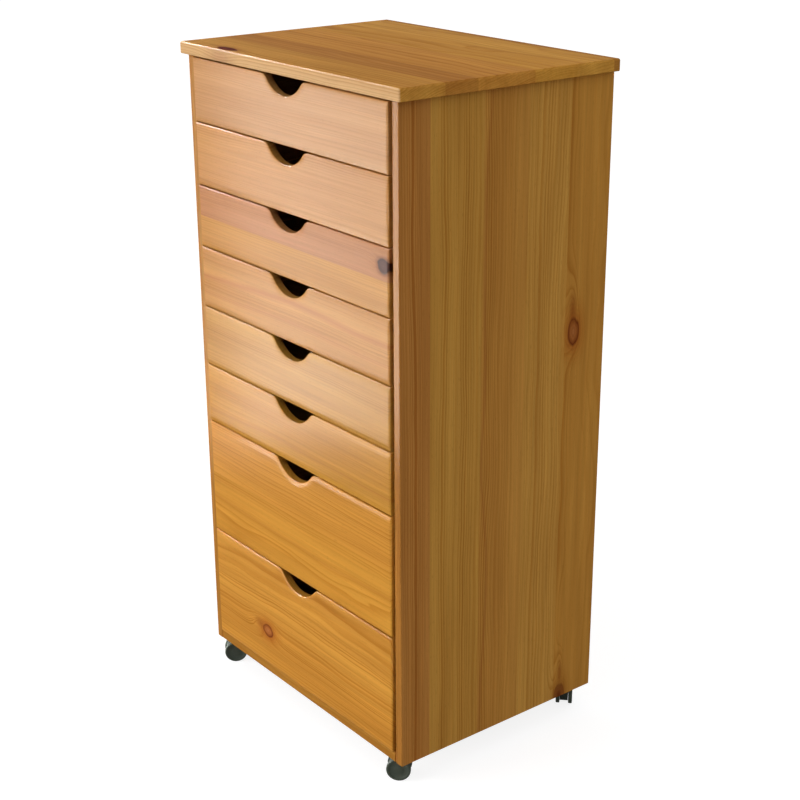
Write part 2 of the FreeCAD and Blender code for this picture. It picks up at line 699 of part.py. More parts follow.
def make_sockets():
    """The four plastic sockets, pushed up into the bottom board."""
    sockets = []
    for corner, (x, y, _) in CASTERS.items():
        body = new_body(f"{corner}_socket")
        sketch = new_sketch(body, "XZ_Plane", "profile")
        draw_outline(
            sketch,
            [
                ("socket_bore_radius", "flange_bottom"),
                ("socket_flange_radius", "flange_bottom"),
                ("socket_flange_radius", "cabinet_bottom"),
                ("socket_sleeve_radius", "cabinet_bottom"),
                ("socket_sleeve_radius", "socket_top"),
                ("0", "socket_top"),
                ("0", "socket_ceiling"),
                ("socket_bore_radius", "socket_ceiling"),
            ],
        )
        revolve(body, sketch, "V_Axis")
        put(body, x, y)
        sockets.append(body)
    group("caster_sockets", sockets)


def check_and_write():
    """Stops if anything in the document failed, then writes each sub-part to its own file."""
    doc.recompute()
    for thing in doc.Objects:
        if {"Invalid", "Error"} & set(thing.State):
            raise RuntimeError(f"{thing.Name} is {thing.State}")
    for piece in subparts:
        if piece.Shape.isNull() or not piece.Shape.isValid() or not piece.Shape.Solids:
            raise RuntimeError(f"{piece.Label} has no valid solid")
    os.makedirs("parts", exist_ok=True)
    for piece in subparts:
        piece.Shape.exportStep(f"parts/{piece.Label}.step")


fill_sheets()
make_top_board()
make_side_panels()
make_bottom_board()
make_back_panel()
make_runners()
make_dowels()
make_sockets()
for drawer in DRAWERS:
    make_drawer_front(drawer)
    make_drawer_sides(drawer)
    make_drawer_back(drawer)
    make_drawer_bottom(drawer)
for corner in CASTERS:
    make_hood(corner)
    make_stem(corner)
    make_axle(corner)
    make_wheel(corner, "left")
    make_wheel(corner, "right")
check_and_write()
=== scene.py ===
import json
import math

import bmesh
import bpy
from mathutils import Matrix, Vector


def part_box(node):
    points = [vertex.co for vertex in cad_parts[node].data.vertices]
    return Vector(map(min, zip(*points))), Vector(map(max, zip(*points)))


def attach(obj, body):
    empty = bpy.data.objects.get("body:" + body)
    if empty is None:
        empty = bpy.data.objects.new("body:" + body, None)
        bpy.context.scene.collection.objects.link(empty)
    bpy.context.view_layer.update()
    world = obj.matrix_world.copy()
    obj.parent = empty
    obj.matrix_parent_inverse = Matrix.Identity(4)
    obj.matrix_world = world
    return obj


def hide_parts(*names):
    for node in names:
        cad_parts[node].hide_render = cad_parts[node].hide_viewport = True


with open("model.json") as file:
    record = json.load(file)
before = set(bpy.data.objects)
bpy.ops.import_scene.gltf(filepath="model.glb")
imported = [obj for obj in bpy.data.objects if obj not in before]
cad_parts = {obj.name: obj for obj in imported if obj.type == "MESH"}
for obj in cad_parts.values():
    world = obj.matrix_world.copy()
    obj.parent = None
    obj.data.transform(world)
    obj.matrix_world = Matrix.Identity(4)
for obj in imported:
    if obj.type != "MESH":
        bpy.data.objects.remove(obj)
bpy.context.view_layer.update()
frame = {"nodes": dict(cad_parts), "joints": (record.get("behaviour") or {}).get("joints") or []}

bl_info = {
    "name": "Rolling drawer cart",
    "version": (1, 0, 0),
    "blender": (4, 5, 0),
    "location": "3D View > Sidebar > Drawer cart",
    "description": "Finishes the drawer cart in lacquered pine and sets its studio",
    "category": "Object",
}

DRAWERS = ("1", "2", "3", "4", "5", "6", "7", "8")
DEEP_DRAWERS = ("7", "8")
CORNERS = ("front_left", "front_right", "back_left", "back_right")

# Lengths of pieces are in metres, as in the frame, and lengths in materials are in millimetres.
MILLIMETRES = 1000
# Corners, levels and rims that are closer together than this count as one.
SAME_CORNER = 1e-6
SAME_LEVEL = 1e-5
SAME_RIM = 2e-5
# Faces that meet at a smaller angle are shaded as one curve.
SMOOTH_BELOW = math.radians(30)

# The roundings that the CAD solids already have, and that the hand-sanded ones start from.
DRAWN_FRONT_ROUNDING = 0.0025
DRAWN_PANEL_ROUNDING = 0.0015
# A front's ends are past this distance from the middle, and its notch is within it.
PAST_THE_NOTCH = 0.2
# The tight arc of a rolled edge has this many steps, and so has its slow fall.
ROLL_STEPS = 5

# The caster wheel. It stands aside from the middle of its caster by this much, its cap rises from the
# dish in steps inwards and outwards, and its bore starts from the inner side.
WHEEL_RADIUS = 0.018
WHEEL_WIDTH = 0.006
WHEEL_ASIDE = 0.0097
DISH_RADIUS = 0.014
DISH_DEPTH = 0.0008
CAP_RADIUS = 0.007
CAP_STEPS = ((0.0003, 0.0006), (0.0022, 0.0002))
BORE_RADIUS = 0.00206
BORE_DEPTH = 0.0048
TREAD_ROUNDING = 0.0014
RIM_ROUNDING = 0.0003

# Settings of a node that mixes two colours, plainly or by multiplying them.
MIXED = {"data_type": "RGBA"}
MULTIPLIED = {"data_type": "RGBA", "blend_type": "MULTIPLY"}


def linear(colour):
    """Turns an sRGB hex colour, such as "#C88B3C", into linear red, green, blue and alpha."""
    channels = [int(colour[place:place + 2], 16) / 255 for place in (1, 3, 5)]
    return tuple(
        part / 12.92 if part <= 0.04045 else ((part + 0.055) / 1.055) ** 2.4 for part in channels
    ) + (1.0,)


def clear_alpha(colour, alpha):
    """Gives a hex colour with an alpha, for a ramp whose alpha says how much of it shows."""
    return linear(colour)[:3] + (alpha,)


def grey(level):
    """Gives a grey of that level as a colour."""
    return (level, level, level, 1.0)


def node(tree, kind, inputs=None, stops=None, **settings):
    """Adds a node with its settings, and links or sets its inputs.

    An input is named, or numbered where names repeat. It takes a number, a colour, a socket, or a node,
    whose first output in use is meant. The numbers of a MapRange are the value, the range it comes from
    and the range it goes to.
    """
    made = tree.nodes.new("ShaderNode" + kind)
    for name, setting in settings.items():
        setattr(made, name, setting)
    if stops:
        points = made.color_ramp.elements
        while len(points) < len(stops):
            points.new(1.0)
        for point, (place, colour) in zip(points, stops):
            point.position = place
            point.color = colour
    for name, source in (inputs or {}).items():
        if isinstance(name, str):
            target = next(socket for socket in made.inputs if socket.enabled and socket.name == name)
        else:
            target = made.inputs[name]
        if isinstance(source, bpy.types.Node):
            source = next(socket for socket in source.outputs if socket.enabled)
        if isinstance(source, bpy.types.NodeSocket):
            tree.links.new(source, target)
        else:
            target.default_value = source
    return made


def new_material(name):
    """Starts a material with an empty node tree."""
    material = bpy.data.materials.new(name)
    material.use_nodes = True
    material.node_tree.nodes.clear()
    return material


def finish_with(piece, material):
    """Gives a piece its material in every slot."""
    if not piece.data.materials:
        piece.data.materials.append(material)
    for place in range(len(piece.data.materials)):
        piece.data.materials[place] = material


def measured(tree):
    """Gives the coordinates node, and the X, Y and Z of each point of the object in millimetres."""
    where = node(tree, "TexCoord")
    inputs = {0: where.outputs["Object"], 1: (MILLIMETRES, MILLIMETRES, MILLIMETRES)}
    place = node(tree, "VectorMath", inputs, operation="MULTIPLY")
    return where, node(tree, "SeparateXYZ", {0: place}).outputs


def stretched_noise(tree, place, sizes, inputs):
    """Adds a noise whose cells have these sizes, in millimetres: the first one along the grain."""
    shares = [1 / size for size in sizes]
    cells = node(tree, "VectorMath", {0: place, 1: shares}, operation="MULTIPLY")
    return node(tree, "TexNoise", {"Vector": cells, "Scale": 1.0, **inputs})


def pine(name, grain, across, edges, tones, seed, knots=(), streaks=(), ring=3.2, contrast=0.6,
         end_tone=(0.96, 0.94, 0.90, 1.0), painted_edge_light=None, notched=False, gleam=0.0025):
    """Clear-lacquered Scots pine, planed and sanded.

    The eye gets pale early wood with thin, redder late-wood lines along the grain, a tone of its own for
    each glued stave, darker end grain, knots with the grain flowing round them, and a satin lacquer.
    Where asked, the long edges take painted light, shade on some boards and sheen on others, and a
    front's ends and the cut face of its notch take a painted shade.
    Lengths are in millimetres. edges are the staves' joints, measured across the grain, and tones the
    staves' colours. A knot has its place along and across the grain, half its length, half its width
    and its colours from the middle outwards. A streak has its place across the grain, half its width,
    its strength and its colour. ring is the width of a year's growth, drawn near its real 2 to 4 mm,
    contrast is how strongly the late wood shows, and gleam how strongly the lacquer mirrors.
    """
    material = new_material(name)
    tree = material.node_tree
    through = ({"X", "Y", "Z"} - {grain, across}).pop()
    where, axes = measured(tree)
    board = node(tree, "CombineXYZ", {0: axes[grain], 1: axes[across], 2: axes[through]})
    stave = node(tree, "Value")
    stave.outputs[0].default_value = 0.0
    for edge in edges:
        past = node(tree, "Math", {0: axes[across], 1: edge}, operation="GREATER_THAN")
        stave = node(tree, "Math", {0: stave, 1: past}, operation="ADD")
    # Each stave is cut from another place in the wood, up to 900 mm away.
    lot = node(tree, "CombineXYZ", {0: stave, 1: seed})
    dice = node(tree, "TexWhiteNoise", {0: lot}, noise_dimensions="3D").outputs["Color"]
    apart = node(tree, "VectorMath", {0: dice, 1: (900, 900, 900)}, operation="MULTIPLY")
    place = node(tree, "VectorMath", {0: board, 1: apart}, operation="ADD")

    # Slow bends of the grain along the board, and its small wavers.
    bend = stretched_noise(tree, place, (260, 70, 70), {"Detail": 2.0, "Roughness": 0.45})
    waver = stretched_noise(tree, place, (70, 9, 9), {"Detail": 1.0})
    # Distance from the pith, which lies outside the board and is another one for each stave. The bends
    # move the year rings by up to 12 mm and the wavers by up to 1.2 mm.
    pith = node(tree, "VectorMath", {0: dice, 1: (0.5, 0.5, 0.5)}, operation="SUBTRACT")
    pith = node(tree, "VectorMath", {0: pith, 1: (0, 90, 60)}, operation="MULTIPLY")
    pith = node(tree, "VectorMath", {0: pith, 1: (0, 260, -70)}, operation="ADD")
    off = node(tree, "VectorMath", {0: board, 1: pith}, operation="SUBTRACT")
    off = node(tree, "VectorMath", {0: off, 1: (0, 1, 1)}, operation="MULTIPLY")
    radius = node(tree, "VectorMath", {0: off}, operation="LENGTH")
    radius = node(tree, "Math", {0: bend, 1: 12.0, 2: radius}, operation="MULTIPLY_ADD")
    radius = node(tree, "Math", {0: waver, 1: 1.2, 2: radius}, operation="MULTIPLY_ADD")
    # A knot pushes the year rings aside by up to 11 mm, less and less away from it. Its reach is 0 in its
    # middle and 1 at its edge, which wavers with the grain.
    marks = []
    for along, aside, half_length, half_width, stops in knots:
        spot = node(tree, "VectorMath", {0: board, 1: (along, aside, 0)}, operation="SUBTRACT")
        scale = (1 / half_length, 1 / half_width, 0)
        spot = node(tree, "VectorMath", {0: spot, 1: scale}, operation="MULTIPLY")
        reach = node(tree, "VectorMath", {0: spot}, operation="LENGTH")
        reach = node(tree, "Math", {0: waver, 1: 0.5, 2: reach}, operation="MULTIPLY_ADD")
        reach = node(tree, "Math", {0: reach, 1: 0.25}, operation="SUBTRACT")
        swell = node(tree, "Math", {0: reach, 1: reach}, operation="MULTIPLY")
        swell = node(tree, "Math", {0: swell, 1: -0.28}, operation="MULTIPLY")
        swell = node(tree, "Math", {0: swell}, operation="EXPONENT")
        radius = node(tree, "Math", {0: swell, 1: 11.0, 2: radius}, operation="MULTIPLY_ADD")
        marks.append((reach, stops))

    # Year rings: a slow rise to the dark late wood and a quick fall, some years stronger than others.
    years = node(tree, "Math", {0: radius, 1: ring}, operation="DIVIDE")
    luck = node(tree, "TexNoise", {"W": years, "Scale": 0.31, "Detail": 2.0}, noise_dimensions="1D")
    years = node(tree, "Math", {0: luck, 1: 2.4, 2: years}, operation="MULTIPLY_ADD")
    phase = node(tree, "Math", {0: years}, operation="FRACT")
    late = node(tree, "ValToRGB", {0: phase}, stops=(
        (0.0, grey(0.25)), (0.12, grey(0.0)), (0.45, grey(0.12)),
        (0.86, grey(0.95)), (0.93, grey(1.0)), (1.0, grey(0.25)),
    ))
    force = node(tree, "TexNoise", {"W": years, "Scale": 0.17, "Detail": 1.0}, noise_dimensions="1D")
    force = node(tree, "MapRange", {0: force, 1: 0.3, 2: 0.72, 3: 0.12 * contrast, 4: contrast})
    late = node(tree, "Math", {0: late, 1: force}, operation="MULTIPLY")

    # The stave's tone, and broad shades in it.
    count = len(edges) + 1
    share = node(tree, "Math", {0: stave, 1: count}, operation="DIVIDE")
    tone = node(tree, "ValToRGB", {0: share}, stops=[
        (max(0.0, (number - 0.25) / count), linear(colour)) for number, colour in enumerate(tones)
    ])
    tone.color_ramp.interpolation = "CONSTANT"
    broad = stretched_noise(tree, place, (420, 24, 24), {"Detail": 2.0})
    broad = node(tree, "MapRange", {0: broad, 1: 0.3, 2: 0.7, 3: 0.0, 4: 1.0})
    shade = node(tree, "Mix", {
        "Factor": broad, "A": (0.89, 0.84, 0.76, 1.0), "B": (1.07, 1.08, 1.04, 1.0),
    }, **MIXED)
    colour = node(tree, "Mix", {"Factor": 1.0, "A": tone, "B": shade}, **MULTIPLIED)
    redder = node(tree, "Mix", {"Factor": 1.0, "A": colour, "B": (0.74, 0.60, 0.44, 1.0)}, **MULTIPLIED)
    colour = node(tree, "Mix", {"Factor": late, "A": colour, "B": redder}, **MIXED)
    # Real fibres are under 0.1 mm wide and resin ducts 0.2 mm, too fine to show, so they are drawn as
    # bundles 4.5 mm wide and as dashes 0.9 mm wide and 9 mm long.
    fibre = stretched_noise(tree, place, (170, 4.5, 4.5), {"Detail": 3.0, "Roughness": 0.65})
    fibre_tone = node(tree, "MapRange", {0: fibre, 1: 0.25, 2: 0.75, 3: 0.90, 4: 1.09})
    colour = node(tree, "Mix", {"Factor": 1.0, "A": colour, "B": fibre_tone}, **MULTIPLIED)
    duct = stretched_noise(tree, place, (9, 0.9, 0.9), {"Detail": 0.0})
    duct = node(tree, "MapRange", {0: duct, 1: 0.70, 2: 0.80, 3: 0.0, 4: 0.25})
    colour = node(tree, "Mix", {"Factor": duct, "A": colour, "B": linear("#8A5A24")}, **MIXED)
    # A streak is a single darker line that runs the board's length and wanders by 15 mm to either side.
    for across_place, half_width, strength, streak_colour in streaks:
        aside = node(tree, "Math", {0: bend, 1: 30.0, 2: axes[across]}, operation="MULTIPLY_ADD")
        aside = node(tree, "Math", {0: aside, 1: across_place + 15.0}, operation="SUBTRACT")
        aside = node(tree, "Math", {0: aside}, operation="ABSOLUTE")
        aside = node(tree, "MapRange", {0: aside, 1: half_width, 2: 0.0, 3: 0.0, 4: strength})
        colour = node(tree, "Mix", {"Factor": aside, "A": colour, "B": linear(streak_colour)}, **MIXED)
    # A knot's colours span three times its size, with fine rings of its own.
    for reach, stops in marks:
        spread = node(tree, "Math", {0: reach, 1: 3.0}, operation="DIVIDE")
        mark = node(tree, "ValToRGB", {0: spread}, stops=stops)
        rings = node(tree, "Math", {0: reach, 1: 18.0}, operation="MULTIPLY")
        rings = node(tree, "Math", {0: rings}, operation="SINE")
        rings = node(tree, "MapRange", {0: rings, 1: -1.0, 2: 1.0, 3: 0.86, 4: 1.06})
        ringed = node(tree, "Mix", {"Factor": 1.0, "A": mark, "B": rings}, **MULTIPLIED)
        shown = mark.outputs["Alpha"]
        colour = node(tree, "Mix", {"Factor": shown, "A": colour, "B": ringed}, **MIXED)

    # End grain drinks the lacquer and takes a tone of its own. On the fronts it is darker than end grain
    # alone, partly a painted shade; on the top it is lighter than the face, taking the top's painted shade
    # back off its ends.
    facing = node(tree, "SeparateXYZ", {0: where.outputs["Normal"]}).outputs
    end = node(tree, "Math", {0: facing[grain]}, operation="ABSOLUTE")
    end = node(tree, "MapRange", {0: end, 1: 0.6, 2: 0.95, 3: 0.0, 4: 1.0})
    if notched:
        # The notch's cut face, within 55 mm of the middle, gets the ends' dark tone: a painted shade.
        notch_shade = node(tree, "Math", {0: facing["Y"]}, operation="ABSOLUTE")
        notch_shade = node(tree, "MapRange", {0: notch_shade, 1: 0.5, 2: 0.2, 3: 0.0, 4: 1.0})
        inside = node(tree, "Math", {0: axes["X"]}, operation="ABSOLUTE")
        inside = node(tree, "Math", {0: inside, 1: 55.0}, operation="LESS_THAN")
        notch_shade = node(tree, "Math", {0: notch_shade, 1: inside}, operation="MULTIPLY")
        end = node(tree, "Math", {0: end, 1: notch_shade}, operation="MAXIMUM")
    ended = node(tree, "Mix", {"Factor": 1.0, "A": colour, "B": end_tone}, **MULTIPLIED)
    colour = node(tree, "Mix", {"Factor": end, "A": colour, "B": ended}, **MIXED)
    if painted_edge_light:
        # The long edges take painted light: a painted shade on the side panels' and the bottom's edges, and
        # a painted sheen on the top's edges.
        painted_edge_mask = node(tree, "Math", {0: facing[across]}, operation="ABSOLUTE")
        painted_edge_mask = node(tree, "MapRange", {0: painted_edge_mask, 1: 0.4, 2: 0.8, 3: 0.0, 4: 1.0})
        edged = node(tree, "Mix", {"Factor": 1.0, "A": colour, "B": painted_edge_light}, **MULTIPLIED)
        colour = node(tree, "Mix", {"Factor": painted_edge_mask, "A": colour, "B": edged}, **MIXED)

    # The late wood stands a little proud under the lacquer, by less than 0.1 mm. The lacquer's gleam is
    # low, because the softboxes that it mirrors are many times brighter than the wood.
    height = node(tree, "Math", {0: fibre, 1: 0.6, 2: late}, operation="MULTIPLY_ADD")
    bump = node(tree, "Bump", {"Strength": 0.10, "Distance": 0.00006, "Height": height})
    gloss = node(tree, "MapRange", {0: fibre, 1: 0.3, 2: 0.7, 3: 0.20, 4: 0.27})
    shader = node(tree, "BsdfPrincipled", {
        "Base Color": colour, "Roughness": gloss, "Specular IOR Level": gleam, "Normal": bump,
    })
    node(tree, "OutputMaterial", {0: shader})
    return material


# Knots, as colours from the middle outwards: three times a knot's size is 1.
ROUND_KNOT = (
    (0.0, clear_alpha("#3E1C14", 0.95)), (0.22, clear_alpha("#34140E", 0.96)),
    (0.30, clear_alpha("#1E0806", 0.96)), (0.37, clear_alpha("#6A3C20", 0.6)),
    (0.55, clear_alpha("#9C6838", 0.22)), (0.85, clear_alpha("#A06A38", 0.0)),
)
RED_KNOT = (
    (0.0, clear_alpha("#B0683A", 0.85)), (0.2, clear_alpha("#A45A2A", 0.88)),
    (0.29, clear_alpha("#6E2E12", 0.95)), (0.36, clear_alpha("#A8551E", 0.6)),
    (0.6, clear_alpha("#B86A24", 0.3)), (0.95, clear_alpha("#B06A28", 0.0)),
)
KNOT_TAIL = (
    (0.0, clear_alpha("#8C4418", 0.6)), (0.2, clear_alpha("#94501E", 0.4)),
    (0.45, clear_alpha("#A86A2C", 0.0)),
)
SHADOWED_KNOT = (
    (0.0, clear_alpha("#6A3014", 0.95)), (0.2, clear_alpha("#8A4A20", 0.85)),
    (0.3, clear_alpha("#7A3C18", 0.8)), (0.38, clear_alpha("#98561E", 0.5)),
    (0.6, clear_alpha("#A8621E", 0.25)), (0.95, clear_alpha("#B06A28", 0.0)),
)
DARK_KNOT = (
    (0.0, clear_alpha("#5E2010", 1.0)), (0.26, clear_alpha("#521A0E", 1.0)),
    (0.33, clear_alpha("#6A2E18", 0.95)), (0.38, clear_alpha("#8A4E28", 0.5)),
    (0.6, clear_alpha("#94582A", 0.2)), (0.9, clear_alpha("#A06A38", 0.0)),
)


def plywood(name, grain, through, start, sheet, plies, face_colour, seed):
    """Sanded birch plywood.

    The eye gets a pale rotary-cut face with a slow wavy figure and short pores and, on the edges, the
    plies, every other one turned across and darker, with thin glue lines. start is where the sheet
    begins along its thickness and sheet is how thick it is, in millimetres. The pores are really 0.1 mm
    wide and are drawn 0.6 mm wide, so that they show.
    """
    material = new_material(name)
    tree = material.node_tree
    across = ({"X", "Y", "Z"} - {grain, through}).pop()
    where, axes = measured(tree)
    board = node(tree, "CombineXYZ", {0: axes[grain], 1: axes[across], 2: seed})
    lines = stretched_noise(tree, board, (900, 110, 1), {"Detail": 1.5, "Distortion": 0.3})
    lines = node(tree, "Math", {0: lines, 1: 60.0}, operation="MULTIPLY")
    lines = node(tree, "Math", {0: lines}, operation="SINE")
    figure = node(tree, "MapRange", {0: lines, 1: -1.0, 2: 1.0, 3: 0.95, 4: 1.03})
    pores = stretched_noise(tree, board, (7, 0.6, 1), {"Detail": 1.0})
    pores = node(tree, "MapRange", {0: pores, 1: 0.62, 2: 0.75, 3: 1.0, 4: 0.86})
    face = node(tree, "Math", {0: figure, 1: pores}, operation="MULTIPLY")
    # Depth in the sheet, counted in plies: each begins with its glue line.
    depth = node(tree, "Math", {0: axes[through], 1: start}, operation="SUBTRACT")
    depth = node(tree, "Math", {0: depth, 1: plies / sheet}, operation="MULTIPLY")
    ply = node(tree, "Math", {0: depth}, operation="FLOOR")
    turned = node(tree, "Math", {0: ply, 1: 2.0}, operation="MODULO")
    layer = node(tree, "MapRange", {0: turned, 1: 0.0, 2: 1.0, 3: 0.97, 4: 0.66})
    glue = node(tree, "Math", {0: depth}, operation="FRACT")
    glue = node(tree, "Math", {0: glue, 1: 0.07}, operation="LESS_THAN")
    glue = node(tree, "MapRange", {0: glue, 1: 0.0, 2: 1.0, 3: 1.0, 4: 0.62})
    layer = node(tree, "Math", {0: layer, 1: glue}, operation="MULTIPLY")
    facing = node(tree, "SeparateXYZ", {0: where.outputs["Normal"]}).outputs
    facing = node(tree, "Math", {0: facing[through]}, operation="ABSOLUTE")
    facing = node(tree, "Math", {0: facing, 1: 0.5}, operation="GREATER_THAN")
    level = node(tree, "Mix", {"Factor": facing, "A": layer, "B": face}, data_type="FLOAT")
    colour = node(tree, "Mix", {"Factor": 1.0, "A": tuple(face_colour), "B": level}, **MULTIPLIED)
    bump = node(tree, "Bump", {"Strength": 0.2, "Distance": 0.00008, "Height": level})
    shader = node(tree, "BsdfPrincipled", {
        "Base Color": colour, "Roughness": 0.55, "Specular IOR Level": 0.01, "Normal": bump,
    })
    node(tree, "OutputMaterial", {0: shader})
    return material


def beech(name, grain, wood_colour, roughness):
    """Planed steamed beech: an even pinkish tan with short dark ray flecks along the grain.

    The flecks have their real size, 1 to 3 mm long and under half a millimetre wide.
    """
    material = new_material(name)
    tree = material.node_tree
    short, cut = sorted({"X", "Y", "Z"} - {grain})
    _, axes = measured(tree)
    board = node(tree, "CombineXYZ", {0: axes[grain], 1: axes[short], 2: axes[cut]})
    broad = stretched_noise(tree, board, (140, 8, 8), {"Detail": 2.0})
    broad = node(tree, "MapRange", {0: broad, 1: 0.3, 2: 0.7, 3: 0.90, 4: 1.07})
    fleck = stretched_noise(tree, board, (2.6, 0.45, 0.45), {"Detail": 0.0})
    fleck = node(tree, "MapRange", {0: fleck, 1: 0.64, 2: 0.72, 3: 0.0, 4: 0.55})
    plain = node(tree, "Mix", {"Factor": 1.0, "A": tuple(wood_colour), "B": broad}, **MULTIPLIED)
    colour = node(tree, "Mix", {"Factor": fleck, "A": plain, "B": linear("#7E4A2A")}, **MIXED)
    bump = node(tree, "Bump", {"Strength": 0.2, "Distance": 0.00006, "Height": broad})
    shader = node(tree, "BsdfPrincipled", {
        "Base Color": colour, "Roughness": roughness, "Specular IOR Level": 0.01, "Normal": bump,
    })
    node(tree, "OutputMaterial", {0: shader})
    return material


def moulded_plastic(name, colour):
    """Moulded nylon: an even dark colour with a faint spark-eroded grain that softens the light.

    The real grain is about 0.1 mm, too fine to show, and is drawn at 0.5 mm. A little dust lies on it.
    """
    material = new_material(name)
    tree = material.node_tree
    where = node(tree, "TexCoord").outputs["Object"]
    speckle = node(tree, "TexNoise", {"Vector": where, "Scale": MILLIMETRES / 0.5, "Detail": 2.0})
    dust = node(tree, "TexNoise", {"Vector": where, "Scale": 90.0, "Detail": 3.0})
    dust = node(tree, "MapRange", {0: dust, 1: 0.35, 2: 0.75, 3: 0.0, 4: 0.22})
    shade = node(tree, "Mix", {"Factor": dust, "A": tuple(colour), "B": linear("#6A6A60")}, **MIXED)
    gloss = node(tree, "MapRange", {0: speckle, 1: 0.3, 2: 0.7, 3: 0.54, 4: 0.68})
    bump = node(tree, "Bump", {"Strength": 0.2, "Distance": 0.00008, "Height": speckle})
    shader = node(tree, "BsdfPrincipled", {
        "Base Color": shade, "Roughness": gloss, "Specular IOR Level": 0.02, "Normal": bump,
    })
    node(tree, "OutputMaterial", {0: shader})
    return material


def plated_steel(name):
    """Zinc-plated turned steel: bright grey metal with faint turning rings and uneven gloss.

    The rings are really 0.1 mm apart and are drawn about 0.4 mm apart, so that they show.
    """
    material = new_material(name)
    tree = material.node_tree
    where = node(tree, "TexCoord").outputs["Object"]
    stretched = node(tree, "VectorMath", {0: where, 1: (60, 60, 2600)}, operation="MULTIPLY")
    turned = node(tree, "TexNoise", {"Vector": stretched, "Scale": 1.0, "Detail": 2.0})
    cloud = node(tree, "TexNoise", {"Vector": where, "Scale": 260.0, "Detail": 3.0})
    shade = node(tree, "Mix", {"Factor": cloud, "A": linear("#A9ABAC"), "B": linear("#C6C8C9")}, **MIXED)
    gloss = node(tree, "MapRange", {0: turned, 1: 0.3, 2: 0.7, 3: 0.24, 4: 0.42})
    bump = node(tree, "Bump", {"Strength": 0.15, "Distance": 0.00004, "Height": turned})
    shader = node(tree, "BsdfPrincipled", {
        "Base Color": shade, "Metallic": 1.0, "Roughness": gloss, "Normal": bump,
    })
    node(tree, "OutputMaterial", {0: shader})
    return material


class CartLooks(bpy.types.PropertyGroup):
    """What a user would change in the cart's looks and its studio."""

    front_fall_reach: bpy.props.FloatProperty(
        name="Front fall reach", description="How far in from its tight arc a front's long edge falls away",
        default=0.0082, min=0.001, max=0.02, precision=4, subtype="DISTANCE", unit="LENGTH")
    front_fall: bpy.props.FloatProperty(
        name="Front fall", description="How deep a front's long edge falls away before its tight arc",
        default=0.0008, min=0.0001, max=0.002, precision=4, subtype="DISTANCE", unit="LENGTH")
    front_end_curve: bpy.props.FloatProperty(
        name="Front end curve", description="How far in from its ends a front's face is rolled over",
        default=0.004, min=0.0025, max=0.008, precision=4, subtype="DISTANCE", unit="LENGTH")
    panel_inner_rounding: bpy.props.FloatProperty(
        name="Panel inner rounding", description="Radius of a side panel's front edge beside the drawers",
        default=0.004, min=0.0015, max=0.007, precision=4, subtype="DISTANCE", unit="LENGTH")
    panel_outer_rounding: bpy.props.FloatProperty(
        name="Panel outer rounding", description="Radius of a side panel's outer front edge",
        default=0.002, min=0.0015, max=0.007, precision=4, subtype="DISTANCE", unit="LENGTH")
    hood_rounding: bpy.props.FloatProperty(
        name="Hood rounding", description="Width of the moulded roundings on the caster hoods",
        default=0.0005, min=0.0001, max=0.001, precision=4, subtype="DISTANCE", unit="LENGTH")
    drawer_plywood: bpy.props.FloatVectorProperty(
        name="Drawer plywood", description="Birch plywood of the drawer bottoms", subtype="COLOR", size=4,
        default=linear("#D6B27C"))
    back_plywood: bpy.props.FloatVectorProperty(
        name="Back plywood", description="Birch plywood of the cabinet's back", subtype="COLOR", size=4,
        default=linear("#D0A86C"))
    runner_beech: bpy.props.FloatVectorProperty(
        name="Runner beech", description="Waxed beech of the drawer runners", subtype="COLOR", size=4,
        default=linear("#C79A6C"))
    dowel_beech: bpy.props.FloatVectorProperty(
        name="Dowel beech", description="Raw beech of the joints' dowels", subtype="COLOR", size=4,
        default=linear("#CFA67A"))
    wheel_plastic: bpy.props.FloatVectorProperty(
        name="Wheel plastic", description="Dark grey-green nylon of the wheels", subtype="COLOR", size=4,
        default=linear("#495146"))
    hood_plastic: bpy.props.FloatVectorProperty(
        name="Hood plastic", description="Dark nylon of the caster hoods", subtype="COLOR", size=4,
        default=linear("#333A34"))
    view_azimuth: bpy.props.FloatProperty(
        name="View azimuth", description="Where the camera stands round the cart, 0 in front of the drawers",
        default=math.radians(51.627), subtype="ANGLE")
    view_elevation: bpy.props.FloatProperty(
        name="View elevation", description="How far the camera looks down", default=math.radians(20.955),
        subtype="ANGLE")
    view_roll: bpy.props.FloatProperty(
        name="View roll", description="How far the camera is turned about its own axis",
        default=math.radians(-0.125), subtype="ANGLE")
    camera_place: bpy.props.FloatVectorProperty(
        name="Camera place", description="Where the camera stands", default=(1.77162, -1.36781, 1.33330),
        subtype="TRANSLATION", unit="LENGTH")
    camera_shift: bpy.props.FloatVectorProperty(
        name="Camera shift", description="How far the frame lies off the lens's axis, in frame widths",
        default=(-0.0162, 0.0059), size=2, precision=4)
    lens: bpy.props.FloatProperty(
        name="Lens", description="Focal length on a 36 mm sensor", default=71.66, unit="CAMERA")
    key_watts: bpy.props.FloatProperty(
        name="Key light", description="Power of the soft light on the drawer fronts", default=450.0,
        unit="POWER")
    sheen_watts: bpy.props.FloatProperty(
        name="Sheen light", description="Power of the softbox whose reflection lies on the upper drawers",
        default=1170.0, unit="POWER")
    rim_watts: bpy.props.FloatProperty(
        name="Rim light", description="Power of the softbox that lights the fronts' rolled upper edges",
        default=5500.0, unit="POWER")
    sky: bpy.props.FloatProperty(
        name="Sky", description="Strength of the even light from all round", default=0.66)


def cad_object(node_name):
    """Gives a CAD node's object."""
    return frame["nodes"][node_name]


def merged_copy(context, node_name, piece_name):
    """Copies a CAD node's mesh to a piece of its own, merges its corners and leaves it in edit mode."""
    piece = bpy.data.objects.new(piece_name, cad_object(node_name).data.copy())
    context.collection.objects.link(piece)
    bpy.ops.object.select_all(action="DESELECT")
    piece.select_set(True)
    context.view_layer.objects.active = piece
    bpy.ops.object.mode_set(mode="EDIT")
    bpy.ops.mesh.select_all(action="SELECT")
    bpy.ops.mesh.remove_doubles(threshold=SAME_CORNER)
    return piece


